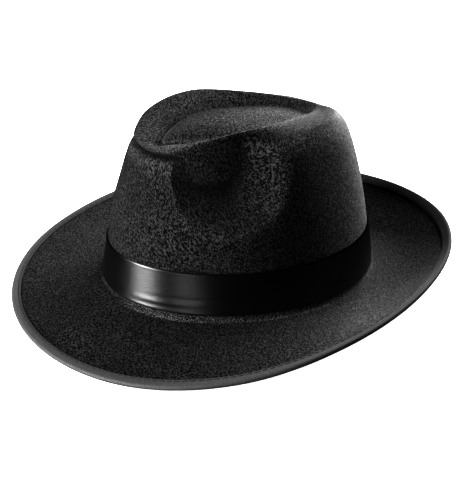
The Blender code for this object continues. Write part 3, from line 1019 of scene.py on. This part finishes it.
# loose fibres
fuzz = {
    "fringeDensity": 1100000.0,  # fibres a square metre, in the hollow under the ribbon
    "fringeLength": 0.0012,
    "fringeRadius": 0.00012,
    "hairDensity": 9000.0,  # over the whole hat
    "hairLength": 0.0026,
    "hairRadius": 0.000045,
    "lie": 1.25,  # radians from upright
    "bend": (0.28, 0.05, 0.55),  # a fibre's middle and tip, in lengths
    "tip": (-0.04, 0.0, 1.0),
    "sizes": (0.5, 1.3),  # shortest and longest, in lengths
    "darkColour": (0.012, 0.012, 0.0125, 1),
    "unevenScale": 700.0,
    "roughness": 0.7,
    # the fringe's pale colour is a painted highlight, for the lit strip in the hollow under the
    # ribbon
    "fringeHighlightColour": (0.80, 0.80, 0.80, 1),
    "hairColour": (0.085, 0.085, 0.087, 1),
}


def fibreTree():
    tree, given = newGrower("looseFibres", {
        "Density": 1000.0, "Length": 0.002, "Fibre radius": 0.00005, "Lie": 1.2, "Seed": 1,
    }, "Fibre")
    seed = given.outputs["Seed"]
    spread = node(tree, "GeometryNodeDistributePointsOnFaces", (-800, 200),
                  {"Mesh": given.outputs["Geometry"], "Density": given.outputs["Density"],
                   "Seed": seed})
    bend, tip = [
        node(tree, "ShaderNodeVectorMath", where, {0: point, "Scale": given.outputs["Length"]},
             operation="SCALE")
        for where, point in (((-800, -200), fuzz["bend"]), ((-800, -360), fuzz["tip"]))
    ]
    fibre = node(tree, "GeometryNodeCurveQuadraticBezier", (-550, -200),
                 {"Resolution": 4, "Start": (0, 0, 0), "Middle": bend, "End": tip})
    profile = node(tree, "GeometryNodeCurvePrimitiveCircle", (-550, -460),
                   {"Resolution": 3, "Radius": given.outputs["Fibre radius"]}, mode="RADIUS")
    solid = node(tree, "GeometryNodeCurveToMesh", (-300, -260),
                 {"Curve": fibre, "Profile Curve": profile, "Fill Caps": True})
    spin, size = [
        node(tree, "FunctionNodeRandomValue", where, {2: least, 3: most, "Seed": seed},
             data_type="FLOAT").outputs[1]
        for where, least, most in (((-550, 520), 0.0, 2 * math.pi), ((-550, 700), *fuzz["sizes"]))
    ]
    leaning = node(tree, "ShaderNodeCombineXYZ", (-350, 420),
                   {"X": given.outputs["Lie"], "Z": spin})
    toTurn = node(tree, "FunctionNodeEulerToRotation", (-170, 420), {0: leaning})
    laid = node(tree, "FunctionNodeRotateRotation", (20, 300),
                {"Rotation": spread.outputs["Rotation"], "Rotate By": toTurn},
                rotation_space="LOCAL")
    placed = node(tree, "GeometryNodeInstanceOnPoints", (250, 100),
                  {"Points": spread.outputs["Points"], "Instance": solid,
                   "Rotation": laid, "Scale": size})
    return endGrower(tree, placed, given.outputs["Fibre"])


def fibres(name, bands, density, length, radius, seed, finish):  # on bands of rings of the felt
    points, faces = [], []
    for band in bands:
        rows, columns = band.shape[:2]
        faces += list(gridFaces(rows, columns, sum(len(part) for part in points), flip=True))
        points.append(band.reshape(-1, 3))
    base = newPiece(name + "Base", toRest(np.concatenate(points)), faces, [])
    piece = grow(name, base, looseFibres, {
        "Density": density, "Length": length, "Fibre radius": radius, "Lie": fuzz["lie"],
        "Seed": seed, "Fibre": finish,
    })
    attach(piece, "root")
    return piece


def fuzzFinish(name, colour):
    return fibreFinish(name, fuzz["darkColour"], colour, fuzz["unevenScale"], fuzz["roughness"])


def makeFibres():
    angles = columnAngles(240, block["crowding"])
    hollow = [brimRing(angles, share) for share in (0.035, 0.015, 0.0)]
    hollow += [breakRing(angles, degrees) for degrees in (70, 50, 30, 14)]
    # pale fibres: a painted highlight in the hollow under the ribbon
    fringe = fibres("footFringe", [np.array(hollow)], fuzz["fringeDensity"], fuzz["fringeLength"],
                    fuzz["fringeRadius"], 4, fuzzFinish("paintedHighlightFuzz", fuzz["fringeHighlightColour"]))
    clear = (ribbon["height"] + fuzz["hairLength"]) / block["crownHeight"]
    brim = [brimRing(angles, share) for share in np.linspace(0.86, 0.06, 12)]
    crown = [wallRing(angles, share) for share in np.linspace(clear, 1, 14)]
    dent = zip(dentTable["plan"], dentTable["depth"])
    top = [crestRing(angles)] + [dentRing(angles, *row) for row in dent]
    hairs = fibres("strayHairs", [np.array(brim), np.array(crown + top)], fuzz["hairDensity"],
                   fuzz["hairLength"], fuzz["hairRadius"], 8,
                   fuzzFinish("looseHair", fuzz["hairColour"]))
    return fringe, hairs


looseFibres = fibreTree()
footFringe, strayHairs = makeFibres()
print("hat: fibres grown,", sum(len(piece.data.polygons) for piece in (footFringe, strayHairs)))

# camera
shot = {
    "azimuth": 60.255,  # degrees, 0 looks at the hat's front
    "elevation": 26.038,  # above the upright hat's own level
    "target": (0, -0.0072, 0.0083),
    "distance": 1.0002,
    "lens": 98.09,
    "sensorHeight": 36.0,
    "clipStart": 0.01,
}


def placeCamera():
    back = fromFront(shot["azimuth"], shot["elevation"])
    right = (-back).cross(Vector((0, 0, 1))).normalized()
    up = right.cross(-back)
    turned = Matrix((right, up, back)).transposed().to_4x4()
    lens = bpy.data.cameras.new("photoView")
    lens.sensor_fit = "VERTICAL"
    lens.sensor_height = shot["sensorHeight"]
    lens.lens = shot["lens"]
    lens.clip_start = shot["clipStart"]
    camera = bpy.data.objects.new("photoView", lens)
    place = Matrix.Translation(Vector(shot["target"]) + back * shot["distance"])
    camera.matrix_world = restMatrix @ place @ turned
    bpy.context.scene.collection.objects.link(camera)
    bpy.context.scene.camera = camera


placeCamera()

# studio
studio = {
    "floorColour": (0.86, 0.86, 0.86, 1),
    "floorGlow": 1.0,
    "worldColour": (1, 1, 1, 1),
    "worldStrength": 1.0,
    "contrast": 0.6,
    "floorReach": 4.0,
    "floorRoughness": 0.8,
    "aim": (0, 0, 0.06),  # the lights point at the middle of the hat
    "lights": (  # name, azimuth, elevation, distance, width, height, watts, what it lights
        ("frontSoftbox", -4, 5, 1.4, 0.54, 0.45, 18.0, "all"),
        ("sideSoftbox", 36, 5, 1.4, 0.45, 0.30, 4.0, "all"),
        ("frontHighSoftbox", -11, 30, 1.4, 0.50, 0.45, 34.0, "all"),
        ("backLeftSoftbox", 212, 4, 1.4, 0.70, 0.45, 100.0, "felt"),
        ("backSoftbox", 180, 4, 1.4, 0.45, 0.45, 30.0, "felt"),
        ("backHighSoftbox", 192, 32, 1.4, 0.50, 0.50, 34.0, "feltAndTape"),
    ),
}


def makeFloor():
    finish, tree, shader = newFinish("paleFloor")
    feed(tree, shader, {
        "Base Color": studio["floorColour"], "Roughness": studio["floorRoughness"],
        "Emission Color": studio["worldColour"], "Emission Strength": studio["floorGlow"],
    })
    reach = studio["floorReach"]
    corners = [(-reach, -reach, 0), (reach, -reach, 0), (reach, reach, 0), (-reach, reach, 0)]
    floor = newPiece("floor", corners, [(0, 1, 2, 3)], [finish])
    floor.visible_diffuse = False  # so that the hat keeps its blacks
    floor.visible_glossy = False
    return floor


def placeLights(groups):  # a light may be kept off the ribbon or the tape, by collections
    litPieces = {}
    for label, pieces in groups.items():
        litPieces[label] = bpy.data.collections.new(label)
        for piece in pieces:
            litPieces[label].objects.link(piece)
    for name, azimuth, elevation, distance, width, height, watts, lit in studio["lights"]:
        back = fromFront(azimuth, elevation)
        lamp = bpy.data.lights.new(name, "AREA")
        lamp.shape = "RECTANGLE"
        lamp.size = width
        lamp.size_y = height
        lamp.energy = watts
        light = bpy.data.objects.new(name, lamp)
        light.location = Vector(studio["aim"]) + back * distance
        light.rotation_euler = back.to_track_quat("Z", "Y").to_euler()
        bpy.context.scene.collection.objects.link(light)
        if lit in litPieces:
            light.light_linking.receiver_collection = litPieces[lit]
    world = bpy.data.worlds.new("studio")
    world.use_nodes = True
    sky = world.node_tree.nodes["Background"]
    sky.inputs["Color"].default_value = studio["worldColour"]
    sky.inputs["Strength"].default_value = studio["worldStrength"]
    bpy.context.scene.world = world
    world.cycles_visibility.diffuse = False  # a white backdrop that adds no light
    world.cycles_visibility.glossy = False
    bpy.context.scene.view_settings.view_transform = "Standard"
    bpy.context.scene.view_settings.gamma = studio["contrast"]


floor = makeFloor()
feltPieces = [pressedFelt, footFringe, strayHairs, floor]
placeLights({"felt": feltPieces,
             "feltAndTape": feltPieces + [edgeTape, upperStitches, lowerStitches]})
print("hat: studio lit")
